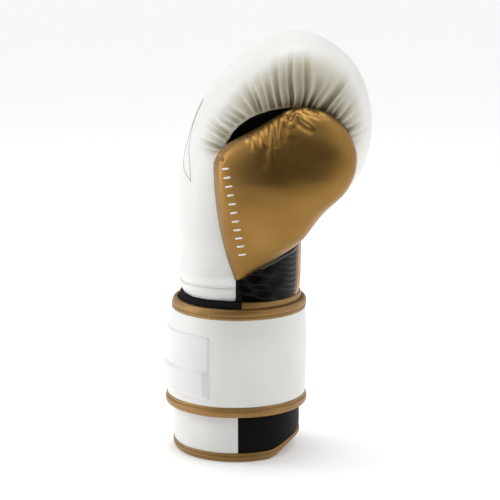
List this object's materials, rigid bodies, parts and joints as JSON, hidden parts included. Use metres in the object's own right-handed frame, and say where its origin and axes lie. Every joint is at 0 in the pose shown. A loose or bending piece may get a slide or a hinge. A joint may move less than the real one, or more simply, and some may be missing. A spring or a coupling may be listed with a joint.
{
  "type": "boxing glove",
  "caption": "Padded boxing glove with a gathered fist, attached thumb and a wide wrapped hook-and-loop wrist strap, standing on its cuff.",
  "frame": {"origin": "middle of the glove's plan box, on the surface that the cuff stands on", "axes": "+Z from the cuff to the fist, +X to the palm side, -Y to the thumb side"},
  "size_m": [0.1461, 0.1508, 0.2944],
  "materials": {
    "white_leather": "smooth coated leather, faint grain, satin",
    "gold_leather": "metallic bronze-gold coated leather, satin sheen",
    "gold_binding": "folded metallic gold edge tape with one stitch row",
    "black_fabric": "matt black lining cloth",
    "black_mesh": "black spacer mesh with small round holes",
    "foam": "open-cell cushioning foam, matt",
    "dense_foam": "closed-cell moulded foam, matt",
    "hook_tape": "nylon hook tape, matt",
    "white_rubber": "moulded soft rubber, satin"
  },
  "bodies": {
    "hand": {"outer_shell": "white_leather", "wrist_collar": "white_leather", "palm_panel": "gold_leather", "palm_mesh_gusset": "black_mesh", "mouth_gusset": "black_fabric", "knuckle_foam": "dense_foam", "fist_front_foam": "dense_foam", "finger_foam": "foam", "fingertip_foam": "foam", "back_of_hand_foam": "foam", "palm_foam": "foam", "grip_bar": "dense_foam", "hand_lining": "black_fabric", "cuff_foam": "foam", "cuff_panel": "white_leather", "cuff_mesh_panel": "black_mesh", "cuff_binding": "gold_binding", "cuff_lining": "black_fabric", "loop_band": "black_fabric", "underlap_flap": "white_leather", "underlap_binding": "gold_binding", "strap_anchor_face": "white_leather", "strap_anchor_lining": "black_fabric", "strap_anchor_bottom_binding": "gold_binding", "strap_anchor_top_binding": "gold_binding"},
    "strap_palm_span": {"strap_palm_face": "white_leather", "strap_palm_lining": "black_fabric", "strap_palm_bottom_binding": "gold_binding", "strap_palm_top_binding": "gold_binding"},
    "strap_thumb_span": {"strap_thumb_side_face": "white_leather", "strap_thumb_side_lining": "black_fabric", "strap_thumb_side_bottom_binding": "gold_binding", "strap_thumb_side_top_binding": "gold_binding"},
    "strap_free_end": {"strap_end_face": "white_leather", "strap_end_lining": "black_fabric", "strap_end_bottom_binding": "gold_binding", "strap_end_top_binding": "gold_binding", "hook_tape": "hook_tape", "badge_patch": "white_rubber"},
    "thumb": {"thumb_outer_panel": "gold_leather", "thumb_inner_panel": "gold_leather", "thumb_foam": "foam", "thumb_lining": "black_fabric"}
  },
  "joints": [
    {"name": "strap_palm_fold", "type": "hinge", "parent": "hand", "child": "strap_palm_span", "pos_m": [0.0148, 0.0534, 0.07], "axis": [0, 0, 1], "range_deg": [0, 48]},
    {"name": "strap_thumb_fold", "type": "hinge", "parent": "strap_palm_span", "child": "strap_thumb_span", "pos_m": [0.0042, -0.0438, 0.07], "axis": [0, 0, 1], "range_deg": [0, 64]},
    {"name": "strap_end_peel", "type": "hinge", "parent": "strap_thumb_span", "child": "strap_free_end", "pos_m": [-0.0655, -0.0212, 0.07], "axis": [0, 0, 1], "range_deg": [0, 80]},
    {"name": "thumb_swing", "type": "hinge", "parent": "hand", "child": "thumb", "pos_m": [-0.0365, -0.0523, 0.196], "axis": [0.1793, 0.1614, -0.9705], "range_deg": [0, 10], "stiffness_Nm_per_rad": 1.5}
  ],
  "couplings": [
    {"joint": "strap_thumb_fold", "follows": "strap_palm_fold", "ratio": 1.3333},
    {"joint": "strap_end_peel", "follows": "strap_palm_fold", "ratio": 1.6666}
  ]
}
